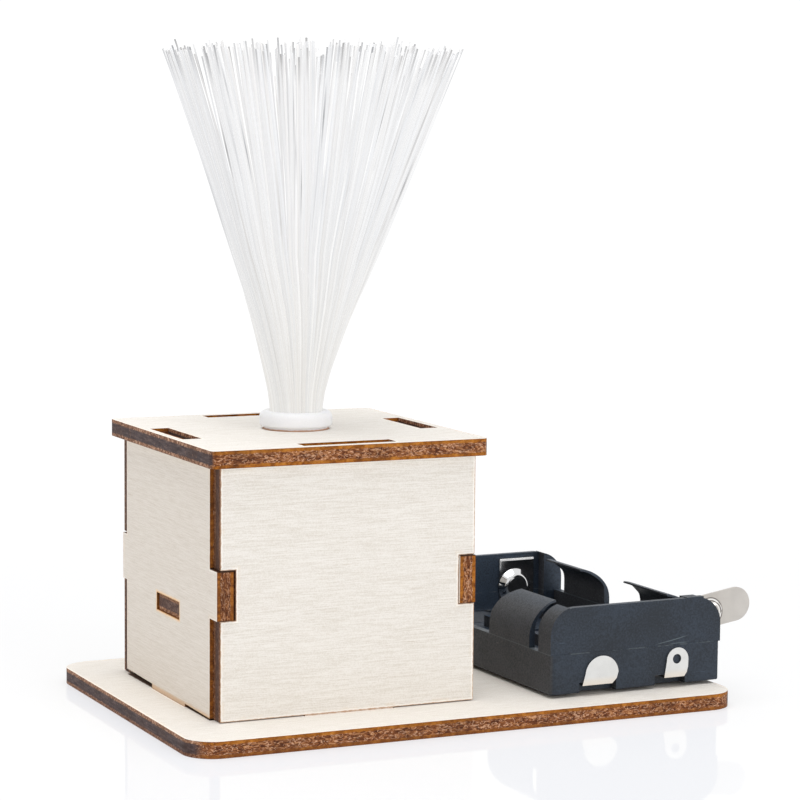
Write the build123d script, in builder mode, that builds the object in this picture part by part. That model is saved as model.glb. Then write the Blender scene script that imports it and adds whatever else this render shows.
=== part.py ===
from build123d import *
import os

# Fibre optic lamp kit: a plywood light box on a plywood base, a spray of plastic
# fibres standing in the lid, and an open tray for two AA cells beside the box.
# Frame: origin on the base's underside, 51.6 mm from its left edge and midway
# between the front and back edges, +X along the long edge towards the battery
# tray, +Y towards the back edge, +Z up. Millimetres.

# ------------------------------------------------------------------ dimensions
T = 3.0  # plywood

# base plate
BASE_X0, BASE_X1, BASE_D, BASE_R = -51.6, 53.2, 71.0, 5.5
BASE_T = 2.88

# box of four walls
BOX_X0, BOX_X1 = -42.15, 5.7  # front wall, side to side
BACK_X0, BACK_X1 = -42.3, 5.7  # back wall, side to side
LEFT_X0 = -42.9  # the left wall's outer face stands a little proud
RIGHT_X1 = 5.75
BOX_Y0, BOX_Y1 = -23.16, 24.84  # outer faces of the front and back walls
WALL_Z0, WALL_Z1 = 3.05, 46.7  # the walls stand just clear of the base on their tabs
SIDE_Z0, SIDE_Z1 = 3.2, 3.9  # the side walls' feet, front and rear
NOTCH_Z0, NOTCH_Z1 = 20.4, 29.1  # finger joint in the corner
FINGER_FRONT = 3.4  # the side walls' fingers: 0.4 proud of the front wall,
FINGER_BACK = 1.95  # and short of the back wall's outer face
FINGER_GAP = 0.12
NOTCH_LEFT, NOTCH_RIGHT = -39.35, 2.65  # inner ends of the front wall's notches
BACK_NOTCH_LEFT, BACK_NOTCH_RIGHT = -39.8, 2.65
TAB_X = (-26.5, -9.9)  # tabs of the front and back walls
TAB_Y_LOW = (-8.2, 8.4)  # tabs of the side walls into the base
TAB_Y_TOP = (-7.25, 8.9)  # and into the lid
SLOT_PLAY = 0.15  # added to each end of a slot
SLOT_SIDE = 0.05  # added to each side of a slot
TAB_Z_LOW = 0.4  # tab ends stop short of the base's underside
TAB_Z_TOP = 48.75  # and short of the lid's top face

# lid
LID_X0, LID_X1 = -44.49, 7.35
LID_Y0, LID_Y1 = -25.08, 26.45
LID_R = 1.2
LID_SLOT_X = (-26.95, -9.7)
LID_SLOT_LEFT = (-42.98, -39.6)
LID_SLOT_RIGHT = (2.55, 5.8)
LID_HOLE_R = 5.5
AXIS_X, AXIS_Y = -18.33, 0.84  # axis of the light: LED, collar and fibres

# LED shelf and the wire hole beside it
SHELF_Z0 = 17.75
SHELF_TAB_Y0, SHELF_TAB_Y1 = -5.25, 5.75
WIRE_HOLE_Y, WIRE_HOLE_Z, WIRE_HOLE_R = -9.0, 9.5, 2.0

# LED, 10 mm
LED_R, LED_H = 5.0, 13.4
LED_FLANGE_R, LED_FLANGE_T = 5.6, 1.5
LEAD_W, LEAD_PITCH = 0.5, 2.54

# fibre collar and fibres
COLLAR_R, COLLAR_H = 6.54, 3.3
NECK_R, NECK_H = 5.7, 0.55
BARREL_R, BARREL_L = 5.44, 6.2
BUNDLE_R = 4.70
BUNDLE_Z0 = 34.9
# the spray: height above the lid, sideways lean of the section's centre, radius
LEAN_X, LEAN_Y = 0.906, -0.423
SPRAY = (
    (3.3, 0.0, 4.70),
    (7.0, 0.1, 5.20),
    (12.1, 0.3, 6.60),
    (19.8, 0.8, 8.95),
    (29.1, 1.5, 12.4),
    (45.0, 2.3, 18.4),
    (69.4, 3.2, 28.0),
)
SPRAY_DROP = 5.2  # how much lower the outermost fibres end
CLUMP_R = 0.92
CLUMP_RINGS = (1.90, 3.72)

# battery tray, stated square to the base and then turned by TRAY_TURN degrees
TRAY_X, TRAY_Y, TRAY_Z = 36.3, -27.48, 3.5  # middle of the near wall's foot
TRAY_W, TRAY_L, TRAY_H = 35.1, 62.1, 15.65
FAR_Z1 = 18.3  # the far end wall is a little lower than the near one
TRAY_TURN = 1.3
WALL_T = 1.3
FLOOR_T = 1.3
RIM_Z = 10.7  # top of the low side walls
BLOCK_W = 3.7  # corner posts, and how deep each one is
BLOCK_NEAR_LEFT, BLOCK_NEAR_RIGHT, BLOCK_FAR = 4.6, 3.8, 3.5
CORNER_R = 5.0
CELL_DX = 7.83  # half the pitch of the two cells
CELL_Z = 12.1  # height of the cells' axes
STRIP = 0.4  # nickel strip
EAR_T = 1.15
# retaining ears: side, start and end from the near wall, height of the curled edge
EARS = (
    (-1, 8.05, 23.2, 18.85),
    (-1, 38.9, 54.1, 18.5),
    (1, 7.95, 25.7, 18.2),
    (1, 39.1, 54.85, 17.85),
)

# switch blade and its rivet
PIVOT_X, PIVOT_Z = 51.2, 15.05
BLADE_R, BLADE_REACH, BLADE_TILT = 3.15, 8.68, 8.9
RIVET_R, BLADE_HOLE_R = 0.95, 1.0

os.makedirs("parts", exist_ok=True)
to_tray = Location((TRAY_X, TRAY_Y, 0), (0, 0, TRAY_TURN))
tray_turn = to_tray * Location((-TRAY_X, -TRAY_Y, 0))


def save(piece, name, turned=False):
    """Labels a finished piece and writes it as a STEP file of its own."""
    solid = piece.part.moved(tray_turn) if turned else piece.part
    solid.label = name
    export_step(solid, f"parts/{name}.step")


LOW = (Align.CENTER, Align.MIN)
LOW3 = (Align.CENTER, Align.CENTER, Align.MIN)

# ------------------------------------------------------------------ base plate
left_xc, right_xc = LEFT_X0 + T / 2, RIGHT_X1 - T / 2
tab_xc, tab_xl = (TAB_X[0] + TAB_X[1]) / 2, TAB_X[1] - TAB_X[0]
low_yc, low_yl = (TAB_Y_LOW[0] + TAB_Y_LOW[1]) / 2, TAB_Y_LOW[1] - TAB_Y_LOW[0]
top_yc, top_yl = (TAB_Y_TOP[0] + TAB_Y_TOP[1]) / 2, TAB_Y_TOP[1] - TAB_Y_TOP[0]
with BuildPart() as base_plate:
    with BuildSketch(Plane.XY):
        with Locations(((BASE_X0 + BASE_X1) / 2, 0)):
            RectangleRounded(BASE_X1 - BASE_X0, BASE_D, BASE_R)
        with Locations((tab_xc, BOX_Y0 + T / 2), (tab_xc, BOX_Y1 - T / 2)):
            Rectangle(tab_xl + 2 * SLOT_PLAY, T + 2 * SLOT_SIDE, mode=Mode.SUBTRACT)
        with Locations((left_xc, low_yc), (right_xc, low_yc)):
            Rectangle(T + 2 * SLOT_SIDE, low_yl + 2 * SLOT_PLAY, mode=Mode.SUBTRACT)
    extrude(amount=BASE_T)
save(base_plate, "base_plate")

# ------------------------------------------------------------------ front and back walls
wall_h = WALL_Z1 - WALL_Z0
notch_h = NOTCH_Z1 - NOTCH_Z0
tab_low_h = WALL_Z0 - TAB_Z_LOW
tab_top_h = TAB_Z_TOP - WALL_Z1

with BuildPart() as front_wall:
    with BuildSketch(Plane.XZ.offset(-(BOX_Y0 + T))):
        with Locations(((BOX_X0 + BOX_X1) / 2, WALL_Z0)):
            Rectangle(BOX_X1 - BOX_X0, wall_h, align=LOW)
        with Locations(((BOX_X0 + NOTCH_LEFT) / 2, NOTCH_Z0)):
            Rectangle(NOTCH_LEFT - BOX_X0, notch_h, align=LOW, mode=Mode.SUBTRACT)
        with Locations(((NOTCH_RIGHT + BOX_X1) / 2, NOTCH_Z0)):
            Rectangle(BOX_X1 - NOTCH_RIGHT, notch_h, align=LOW, mode=Mode.SUBTRACT)
        with Locations((tab_xc, TAB_Z_LOW)):
            Rectangle(tab_xl, tab_low_h, align=LOW)
        with Locations((tab_xc, WALL_Z1)):
            Rectangle(tab_xl, tab_top_h, align=LOW)
    extrude(amount=T)
save(front_wall, "front_wall")

with BuildPart() as back_wall:
    with BuildSketch(Plane.XZ.offset(-BOX_Y1)):
        with Locations(((BACK_X0 + BACK_X1) / 2, WALL_Z0)):
            Rectangle(BACK_X1 - BACK_X0, wall_h, align=LOW)
        with Locations(((BACK_X0 + BACK_NOTCH_LEFT) / 2, NOTCH_Z0)):
            Rectangle(BACK_NOTCH_LEFT - BACK_X0, notch_h, align=LOW, mode=Mode.SUBTRACT)
        with Locations(((BACK_NOTCH_RIGHT + BACK_X1) / 2, NOTCH_Z0)):
            Rectangle(BACK_X1 - BACK_NOTCH_RIGHT, notch_h, align=LOW, mode=Mode.SUBTRACT)
        with Locations((tab_xc, TAB_Z_LOW)):
            Rectangle(tab_xl, tab_low_h, align=LOW)
        with Locations((tab_xc, WALL_Z1)):
            Rectangle(tab_xl, tab_top_h, align=LOW)
    extrude(amount=T)
save(back_wall, "back_wall")

# ------------------------------------------------------------------ side walls
# They stand between the front and back walls; a finger at each end reaches into
# the notch there, and a slot takes the end of the LED shelf.
side_y0, side_y1 = BOX_Y0 + T, BOX_Y1 - T
shelf_tab_yc = (SHELF_TAB_Y0 + SHELF_TAB_Y1) / 2
shelf_tab_l = SHELF_TAB_Y1 - SHELF_TAB_Y0
finger_zc = (NOTCH_Z0 + NOTCH_Z1) / 2

for name, x_face, hole in (("left_wall", LEFT_X0, False), ("right_wall", RIGHT_X1 - T, True)):
    with BuildPart() as side_wall:
        with BuildSketch(Plane.YZ.offset(x_face)):
            with BuildLine():
                Polyline(
                    (side_y0, SIDE_Z0),
                    (side_y1, SIDE_Z1),
                    (side_y1, WALL_Z1),
                    (side_y0, WALL_Z1),
                    close=True,
                )
            make_face()
            with Locations((side_y0 - FINGER_FRONT / 2, finger_zc)):
                Rectangle(FINGER_FRONT, notch_h - 2 * FINGER_GAP)
            with Locations((side_y1 + FINGER_BACK / 2, finger_zc)):
                Rectangle(FINGER_BACK, notch_h - 2 * FINGER_GAP)
            with Locations((low_yc, TAB_Z_LOW)):
                Rectangle(low_yl, SIDE_Z1 - TAB_Z_LOW, align=LOW)
            with Locations((top_yc, WALL_Z1)):
                Rectangle(top_yl, tab_top_h, align=LOW)
            with Locations((shelf_tab_yc, SHELF_Z0 + T / 2)):
                Rectangle(shelf_tab_l + 2 * SLOT_PLAY, T + 2 * SLOT_SIDE, mode=Mode.SUBTRACT)
            if hole:
                with Locations((WIRE_HOLE_Y, WIRE_HOLE_Z)):
                    Circle(WIRE_HOLE_R, mode=Mode.SUBTRACT)
        extrude(amount=T)
    save(side_wall, name)

# ------------------------------------------------------------------ lid
with BuildPart() as lid:
    with BuildSketch(Plane.XY.offset(WALL_Z1)):
        with Locations(((LID_X0 + LID_X1) / 2, (LID_Y0 + LID_Y1) / 2)):
            RectangleRounded(LID_X1 - LID_X0, LID_Y1 - LID_Y0, LID_R)
        with Locations(
            (sum(LID_SLOT_X) / 2, BOX_Y0 + T / 2), (sum(LID_SLOT_X) / 2, BOX_Y1 - T / 2)
        ):
            Rectangle(LID_SLOT_X[1] - LID_SLOT_X[0], T + 2 * SLOT_SIDE, mode=Mode.SUBTRACT)
        for slot in (LID_SLOT_LEFT, LID_SLOT_RIGHT):
            with Locations((sum(slot) / 2, top_yc)):
                Rectangle(slot[1] - slot[0], top_yl + 2 * SLOT_PLAY, mode=Mode.SUBTRACT)
        with Locations((AXIS_X, AXIS_Y)):
            Circle(LID_HOLE_R, mode=Mode.SUBTRACT)
    extrude(amount=T)
save(lid, "lid")
LID_TOP = WALL_Z1 + T

# ------------------------------------------------------------------ LED shelf
# A plate across the box, clear of the front and back walls, with a tongue into
# the slot of each side wall. The LED stands on it with its leads through two holes.
shelf_x0, shelf_x1 = LEFT_X0 + T + 0.05, RIGHT_X1 - T - 0.05
SHELF_D = 30.0
with BuildPart() as led_shelf:
    with BuildSketch(Plane.XY.offset(SHELF_Z0)):
        with Locations(((shelf_x0 + shelf_x1) / 2, AXIS_Y)):
            Rectangle(shelf_x1 - shelf_x0, SHELF_D)
        with Locations((shelf_x0 - 1.25, shelf_tab_yc), (shelf_x1 + 1.25, shelf_tab_yc)):
            Rectangle(2.9, shelf_tab_l)
        with Locations((AXIS_X - LEAD_PITCH / 2, AXIS_Y), (AXIS_X + LEAD_PITCH / 2, AXIS_Y)):
            Circle(0.55, mode=Mode.SUBTRACT)
    extrude(amount=T)
save(led_shelf, "led_shelf")
SHELF_TOP = SHELF_Z0 + T

# ------------------------------------------------------------------ LED
# The leads run up into the lens: the anode ends in a slim post, the cathode in
# the broad anvil whose cup holds the chip.
with BuildPart() as led_anode_lead:
    with Locations((AXIS_X + LEAD_PITCH / 2, AXIS_Y, 6.5)):
        Box(LEAD_W, LEAD_W, SHELF_TOP + 5.2 - 6.5, align=LOW3)
    with Locations((AXIS_X + LEAD_PITCH / 2 - 0.25, AXIS_Y, SHELF_TOP + 3.6)):
        Box(1.0, LEAD_W, 1.6, align=LOW3)
save(led_anode_lead, "led_anode_lead")

with BuildPart() as led_cathode_lead:
    with Locations((AXIS_X - LEAD_PITCH / 2, AXIS_Y, 8.6)):
        Box(LEAD_W, LEAD_W, SHELF_TOP + 3.0 - 8.6, align=LOW3)
    with BuildSketch(Plane.XZ.offset(-(AXIS_Y + LEAD_W / 2))):
        with BuildLine():
            Polyline(
                (AXIS_X - LEAD_PITCH / 2 - 0.25, SHELF_TOP + 2.6),
                (AXIS_X - LEAD_PITCH / 2 + 0.25, SHELF_TOP + 2.6),
                (AXIS_X + 0.35, SHELF_TOP + 4.2),
                (AXIS_X + 0.35, SHELF_TOP + 5.4),
                (AXIS_X - LEAD_PITCH / 2 - 0.45, SHELF_TOP + 5.4),
                (AXIS_X - LEAD_PITCH / 2 - 0.45, SHELF_TOP + 4.0),
                close=True,
            )
        make_face()
    extrude(amount=LEAD_W)
    with BuildSketch(Plane.XY.offset(SHELF_TOP + 5.4)):
        with Locations((AXIS_X - 0.62, AXIS_Y)):
            Circle(0.85)
    extrude(amount=0.5)
    with BuildSketch(Plane.XY.offset(SHELF_TOP + 5.5)):
        with Locations((AXIS_X - 0.62, AXIS_Y)):
            Circle(0.45)
    extrude(amount=0.5, taper=-20, mode=Mode.SUBTRACT)
save(led_cathode_lead, "led_cathode_lead")

with BuildPart() as led_chip:
    with Locations((AXIS_X - 0.62, AXIS_Y, SHELF_TOP + 5.5)):
        Box(0.36, 0.36, 0.2, align=LOW3)
save(led_chip, "led_chip")

with BuildPart() as led_lens:
    with BuildSketch(Plane.XZ):
        with BuildLine():
            Polyline(
                (0, 0),
                (LED_FLANGE_R, 0),
                (LED_FLANGE_R, LED_FLANGE_T),
                (LED_R, LED_FLANGE_T),
                (LED_R, LED_H - LED_R),
            )
            RadiusArc((LED_R, LED_H - LED_R), (0, LED_H), -LED_R)
            Line((0, LED_H), (0, 0))
        make_face()
    revolve(axis=Axis.Z)
    # the flat on the flange marks the cathode
    with Locations((-LED_R - 1.0, 0, 0)):
        Box(2.0, 2 * LED_FLANGE_R, LED_FLANGE_T, align=LOW3, mode=Mode.SUBTRACT)
lens_at = Location((AXIS_X, AXIS_Y, SHELF_TOP))
lens_solid = led_lens.part.moved(lens_at)
with BuildPart() as led_lens_cut:
    add(lens_solid)
    add(led_anode_lead.part, mode=Mode.SUBTRACT)
    add(led_cathode_lead.part, mode=Mode.SUBTRACT)
    add(led_chip.part, mode=Mode.SUBTRACT)
save(led_lens_cut, "led_lens")

# ------------------------------------------------------------------ fibre collar
# A moulded bush: a short neck rests on the lid with the flange above it, and the
# barrel drops through.
with BuildPart(Plane((AXIS_X, AXIS_Y, LID_TOP))) as fibre_collar:
    with BuildSketch(Plane((AXIS_X, AXIS_Y, LID_TOP), x_dir=(1, 0, 0), z_dir=(0, -1, 0))):
        with BuildLine():
            Polyline(
                (BUNDLE_R + 0.04, -BARREL_L),
                (BARREL_R, -BARREL_L),
                (BARREL_R, 0),
                (NECK_R, 0),
                (NECK_R, NECK_H),
                (COLLAR_R, NECK_H),
                (COLLAR_R, COLLAR_H),
                (BUNDLE_R + 0.04, COLLAR_H),
                close=True,
            )
        make_face()
    revolve(axis=Axis((AXIS_X, AXIS_Y, 0), (0, 0, 1)))
    outer = fibre_collar.edges().filter_by(GeomType.CIRCLE)
    top_rim = outer.group_by(Axis.Z)[-1].sort_by(SortBy.RADIUS)[-1]
    fillet(top_rim, 1.15)
    foot_rim = (
        fibre_collar.edges()
        .filter_by(GeomType.CIRCLE)
        .filter_by(
            lambda e: abs(e.radius - COLLAR_R) < 1e-4
            and abs(e.center().Z - LID_TOP - NECK_H) < 1e-4
        )
    )
    fillet(foot_rim, 0.5)
    inner_rim = (
        fibre_collar.edges()
        .filter_by(GeomType.CIRCLE)
        .filter_by(
            lambda e: abs(e.radius - BUNDLE_R - 0.04) < 1e-4
            and abs(e.center().Z - LID_TOP - COLLAR_H) < 1e-4
        )
    )
    fillet(inner_rim, 0.5)
save(fibre_collar, "fibre_collar")

# ------------------------------------------------------------------ fibres
# The fibres stand in the collar as three rings of tight clumps, which are straight
# up to the collar's mouth and fan out above it, leaning a little to one side. The
# outer clumps end lower, because all the fibres are cut to one length.
clump_spots = [(0.0, 0.0)]
clump_spots += [(CLUMP_RINGS[0], 60.0 * i) for i in range(6)]
clump_spots += [(CLUMP_RINGS[1], 15.0 + 30.0 * i) for i in range(12)]
with BuildPart() as fibre_bundle:
    for ring, angle in clump_spots:
        share = ring / BUNDLE_R
        way = Vector(1, 0, 0).rotate(Axis.Z, angle)
        with BuildSketch(
            Plane((AXIS_X + way.X * ring, AXIS_Y + way.Y * ring, BUNDLE_Z0))
        ):
            Circle(CLUMP_R)
        for h, lean, r in SPRAY:
            drop = SPRAY_DROP * share**2 if h == SPRAY[-1][0] else 0.0
            reach = ring * (r - CLUMP_R) / (BUNDLE_R - CLUMP_R)
            with BuildSketch(
                Plane(
                    (
                        AXIS_X + LEAN_X * lean + way.X * reach,
                        AXIS_Y + LEAN_Y * lean + way.Y * reach,
                        LID_TOP + h - drop,
                    )
                )
            ):
                Circle(CLUMP_R)
        loft(ruled=True)
save(fibre_bundle, "fibre_bundle")

# ------------------------------------------------------------------ battery tray
x0, x1 = TRAY_X - TRAY_W / 2, TRAY_X + TRAY_W / 2
y0, y1 = TRAY_Y, TRAY_Y + TRAY_L
yc = (y0 + y1) / 2
z0, z1 = TRAY_Z, TRAY_Z + TRAY_H
floor_z = z0 + FLOOR_T
in_y0, in_y1 = y0 + WALL_T, y1 - WALL_T
UP_IN = 0.08  # the tall end walls stand this far inside the low rim's end faces
UP_OUT = (0.06, 0.30)  # and this far outside its left and right side faces
UP_W, UP_X = TRAY_W + sum(UP_OUT), TRAY_X + (UP_OUT[1] - UP_OUT[0]) / 2
cell_x = (TRAY_X - CELL_DX, TRAY_X + CELL_DX)
wide_tab_x, slim_tab_x = 29.05, 44.75
FOOT_CUT = 1.85  # height of the cut-outs under the terminals


with BuildPart() as battery_tray:
    # floor and low side walls
    with BuildSketch(Plane.XY.offset(z0)):
        with Locations((TRAY_X, yc)):
            RectangleRounded(TRAY_W, TRAY_L, 0.9)
        # the near right corner is a little crisper than the others
        with Locations((x1 - 1.5, y0 + 1.5)):
            RectangleRounded(3.0, 3.0, 0.35)
    extrude(amount=RIM_Z - z0)
    foot_edges = battery_tray.faces().sort_by(Axis.Z)[0].edges()
    fillet(foot_edges, 0.3)
    with BuildSketch(Plane.XY.offset(floor_z)):
        with Locations((TRAY_X, yc)):
            Rectangle(TRAY_W - 2 * WALL_T, TRAY_L - 2 * WALL_T)
    extrude(amount=RIM_Z - floor_z + 1, mode=Mode.SUBTRACT)

    # tall end walls with rounded shoulders
    for plane_y, top_z in ((in_y0, z1 - 0.15), (y1 - UP_IN, FAR_Z1 - 0.1)):
        with BuildSketch(Plane.XZ.offset(-plane_y)) as end_wall:
            with Locations((UP_X, RIM_Z - 0.05)):
                Rectangle(UP_W, top_z - RIM_Z + 0.05, align=LOW)
            fillet(end_wall.vertices().group_by(Axis.Y)[-1], CORNER_R)
        extrude(amount=WALL_T - UP_IN)

    # corner posts behind the end walls, with the same shoulders, a little taller
    for side, plane_y, deep, top_z in (
        (-1, y0 + BLOCK_NEAR_LEFT, BLOCK_NEAR_LEFT, z1),
        (1, y0 + BLOCK_NEAR_RIGHT, BLOCK_NEAR_RIGHT, z1 - 0.3),
        (-1, y1 - UP_IN, BLOCK_FAR, FAR_Z1),
        (1, y1 - UP_IN, BLOCK_FAR, FAR_Z1),
    ):
        with BuildSketch(Plane.XZ.offset(-plane_y)) as posts:
            with Locations((UP_X, RIM_Z - 0.05)):
                Rectangle(UP_W, top_z - RIM_Z + 0.05, align=LOW)
            fillet(posts.vertices().group_by(Axis.Y)[-1], CORNER_R)
            with Locations((TRAY_X, floor_z)):
                Rectangle(TRAY_W - 1.0, RIM_Z - floor_z, align=LOW)
            with Locations((TRAY_X - side * BLOCK_W, floor_z)):
                Rectangle(TRAY_W, top_z - floor_z, align=LOW, mode=Mode.SUBTRACT)
        extrude(amount=deep - UP_IN)
    # the raised rim beside the right-hand near post
    with BuildSketch(Plane.XZ.offset(-in_y0)):
        with Locations((46.9, z1 - 2.0)):
            Rectangle(3.55, 1.98, align=(Align.MIN, Align.MIN))
    extrude(amount=WALL_T - UP_IN)
    with BuildSketch(Plane.XZ.offset(-(y0 + BLOCK_NEAR_RIGHT))):
        with Locations((47.6, z1 - 0.95)):
            Rectangle(2.85, 0.65, align=(Align.MIN, Align.MIN))
    extrude(amount=BLOCK_NEAR_RIGHT - UP_IN)

    # retaining ears: a thin wall that rises from the rim and curls over the cell
    for side, start, end, ear_z in EARS:
        edge = TRAY_X + side * TRAY_W / 2
        ya, yb = y0 + start, y0 + end
        with BuildSketch(Plane.XZ.offset(-yb)):
            with BuildLine():
                Line((edge, RIM_Z - 1.0), (edge, 12.0))
                ThreePointArc(
                    (edge, 12.0),
                    (edge - side * 2.0, 12.0 + (ear_z - 12.0) * 0.74),
                    (edge - side * 5.85, ear_z),
                )
                Line((edge - side * 5.85, ear_z), (edge - side * 5.8, ear_z - 0.33))
                Spline(
                    (edge - side * 5.8, ear_z - 0.33),
                    (edge - side * 4.1, ear_z - 0.78),
                    (edge - side * 2.35, 12.0 + (ear_z - 12.0) * 0.66),
                    (edge - side * EAR_T, 13.2),
                    tangents=((side, -0.12), (0, -1)),
                )
                Line((edge - side * EAR_T, 13.2), (edge - side * EAR_T, RIM_Z - 1.0))
                Line((edge - side * EAR_T, RIM_Z - 1.0), (edge, RIM_Z - 1.0))
            make_face()
        extrude(amount=yb - ya)
    # the ears' corners are clipped, more at the ends that face each other
    for side, start, end, ear_z in EARS:
        near_half = end < TRAY_L / 2
        with BuildSketch(Plane.YZ.offset(TRAY_X if side > 0 else x0 - 1)):
            for corner, way, inner in (
                (y0 + start, 1, not near_half),
                (y0 + end, -1, near_half),
            ):
                deep = 1.6 if inner else 0.9
                low = ear_z - (3.6 if inner else 1.6)
                with BuildLine():
                    Polyline(
                        (corner - way * 0.3, low),
                        (corner, low),
                        (corner + way * deep * 0.3, low + (ear_z - low) * 0.55),
                        (corner + way * deep, ear_z + 0.1),
                        (corner + way * deep, 19.6),
                        (corner - way * 0.3, 19.6),
                        close=True,
                    )
                make_face()
        extrude(amount=TRAY_W / 2 + 1, mode=Mode.SUBTRACT)

    # low rib between the cells, and raised + and - marks in each bay's floor
    with BuildSketch(Plane.XY.offset(floor_z)):
        with Locations((TRAY_X, yc)):
            Rectangle(1.2, TRAY_L - 2 * WALL_T - 8.0)
    extrude(amount=2.2)
    with BuildSketch(Plane.XY.offset(floor_z)):
        # + ends: near end of the left bay, far end of the right bay
        for mx, my in ((cell_x[0], in_y0 + 12.0), (cell_x[1], in_y1 - 12.0)):
            with Locations((mx, my)):
                Rectangle(5.0, 1.1)
                Rectangle(1.1, 5.0)
        for mx, my in ((cell_x[0], in_y1 - 12.0), (cell_x[1], in_y0 + 12.0)):
            with Locations((mx, my)):
                Rectangle(5.0, 1.1)
    extrude(amount=0.35)

    # cut-outs in the near wall's foot, through which the two terminals pass
    with BuildSketch(Plane.XY.offset(z0)):
        with Locations((28.4, y0 - 0.5)):
            Rectangle(7.6, WALL_T + 0.9, align=LOW)
        with Locations((43.5, y0 - 0.5)):
            Rectangle(6.4, WALL_T + 0.9, align=LOW)
    extrude(amount=FOOT_CUT, mode=Mode.SUBTRACT)
    # blind hole for the blade's rivet, in the near right post
    with BuildSketch(Plane.XZ.offset(-(y0 + BLOCK_NEAR_RIGHT))):
        with Locations((PIVOT_X, PIVOT_Z)):
            Circle(RIVET_R + 0.02)
    extrude(amount=2.6, mode=Mode.SUBTRACT)
save(battery_tray, "battery_tray", turned=True)

# double-sided foam tape between the tray and the base
with BuildPart() as foam_tape:
    with BuildSketch(Plane.XY.offset(BASE_T)):
        with Locations((TRAY_X, yc)):
            RectangleRounded(25.0, 50.0, 1.0)
    extrude(amount=TRAY_Z - BASE_T)
save(foam_tape, "foam_tape", turned=True)

# ------------------------------------------------------------------ nickel contacts
# Each near terminal is one strip: a tab up the outside of the end wall, a bend
# under the wall, and a plate that stands inside the bay.
tab_out_y = y0 - 0.06 - STRIP  # outer face of a tab
plate_y0 = in_y0 + 0.02  # a near plate's face against the wall
under_z = floor_z + 0.05
dome_r, dome_h = 3.6, 1.15
dome_x, dome_z = cell_x[1] + 0.3, CELL_Z - 0.5  # the far dome sits a little low


with BuildPart() as positive_terminal:
    with BuildSketch(Plane.XZ.offset(-(tab_out_y + STRIP))):
        with BuildLine():
            Polyline(
                (wide_tab_x - 3.45, 6.9),
                (wide_tab_x - 4.05, under_z),
                (wide_tab_x + 2.1, under_z),
                (wide_tab_x + 3.0, 5.75),
                (wide_tab_x + 3.35, 6.9),
            )
            ThreePointArc(
                (wide_tab_x + 3.35, 6.9), (wide_tab_x + 0.05, 10.02), (wide_tab_x - 3.45, 6.9)
            )
        make_face()
    extrude(amount=STRIP)
    with Locations((wide_tab_x - 0.9, tab_out_y, under_z)):
        Box(5.9, plate_y0 + STRIP - tab_out_y, STRIP, align=(Align.CENTER, Align.MIN, Align.MIN))
    with BuildSketch(Plane.XZ.offset(-(plate_y0 + STRIP))):
        with Locations((cell_x[0], floor_z + 0.05)):
            RectangleRounded(8.6, 12.3, 1.0, align=LOW)
    extrude(amount=STRIP)
    # pressed dome that meets the cell's cap
    with BuildSketch(Plane.XZ.offset(-(plate_y0 + STRIP))):
        with Locations((cell_x[0], CELL_Z)):
            Circle(2.4)
    extrude(amount=-0.85, taper=45)
    fillet(positive_terminal.faces().sort_by(Axis.Y)[-1].edges(), 0.9)
save(positive_terminal, "positive_terminal", turned=True)

post_face = y0 + BLOCK_NEAR_RIGHT  # rear face of the near right corner post
with BuildPart() as negative_terminal:
    with BuildSketch(Plane.XZ.offset(-(tab_out_y + STRIP))):
        with BuildLine():
            Polyline(
                (slim_tab_x - 2.2, 7.9),
                (slim_tab_x - 2.7, under_z),
                (slim_tab_x + 1.5, under_z),
                (slim_tab_x + 2.05, 5.6),
                (slim_tab_x + 2.3, 6.6),
                (slim_tab_x + 2.35, 7.9),
            )
            ThreePointArc(
                (slim_tab_x + 2.35, 7.9), (slim_tab_x + 0.08, 10.23), (slim_tab_x - 2.2, 7.9)
            )
        make_face()
        with Locations((slim_tab_x - 0.08, 8.17)):
            Circle(0.88, mode=Mode.SUBTRACT)
    extrude(amount=STRIP)
    with Locations((slim_tab_x - 0.6, tab_out_y, under_z)):
        Box(3.9, plate_y0 + STRIP - tab_out_y, STRIP, align=(Align.CENTER, Align.MIN, Align.MIN))
    with BuildSketch(Plane.XZ.offset(-(plate_y0 + STRIP))):
        with Locations((cell_x[1], floor_z + 0.05)):
            RectangleRounded(8.6, 12.3, 1.0, align=LOW)
    extrude(amount=STRIP)
    # strap from the plate, round the corner post, to the switch's fixed contact
    with Locations((cell_x[1] + 4.0, plate_y0, 8.2)):
        Box(1.75, STRIP, 2.2, align=(Align.MIN, Align.MIN, Align.MIN))
    with Locations((49.48, plate_y0, 8.2)):
        Box(STRIP, post_face + 0.5 - plate_y0, 2.2, align=(Align.MIN, Align.MIN, Align.MIN))
    with Locations((49.48, post_face + 0.1, 8.2)):
        Box(2.95, STRIP, 2.2, align=(Align.MIN, Align.MIN, Align.MIN))
    with Locations((52.03, post_face + 0.1, 8.2)):
        Box(STRIP, 1.9, 2.93, align=(Align.MIN, Align.MIN, Align.MIN))
    with Locations((52.03, post_face + 0.1, RIM_Z + 0.03)):
        Box(2.1, 1.9, STRIP, align=(Align.MIN, Align.MIN, Align.MIN))
save(negative_terminal, "negative_terminal", turned=True)

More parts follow.
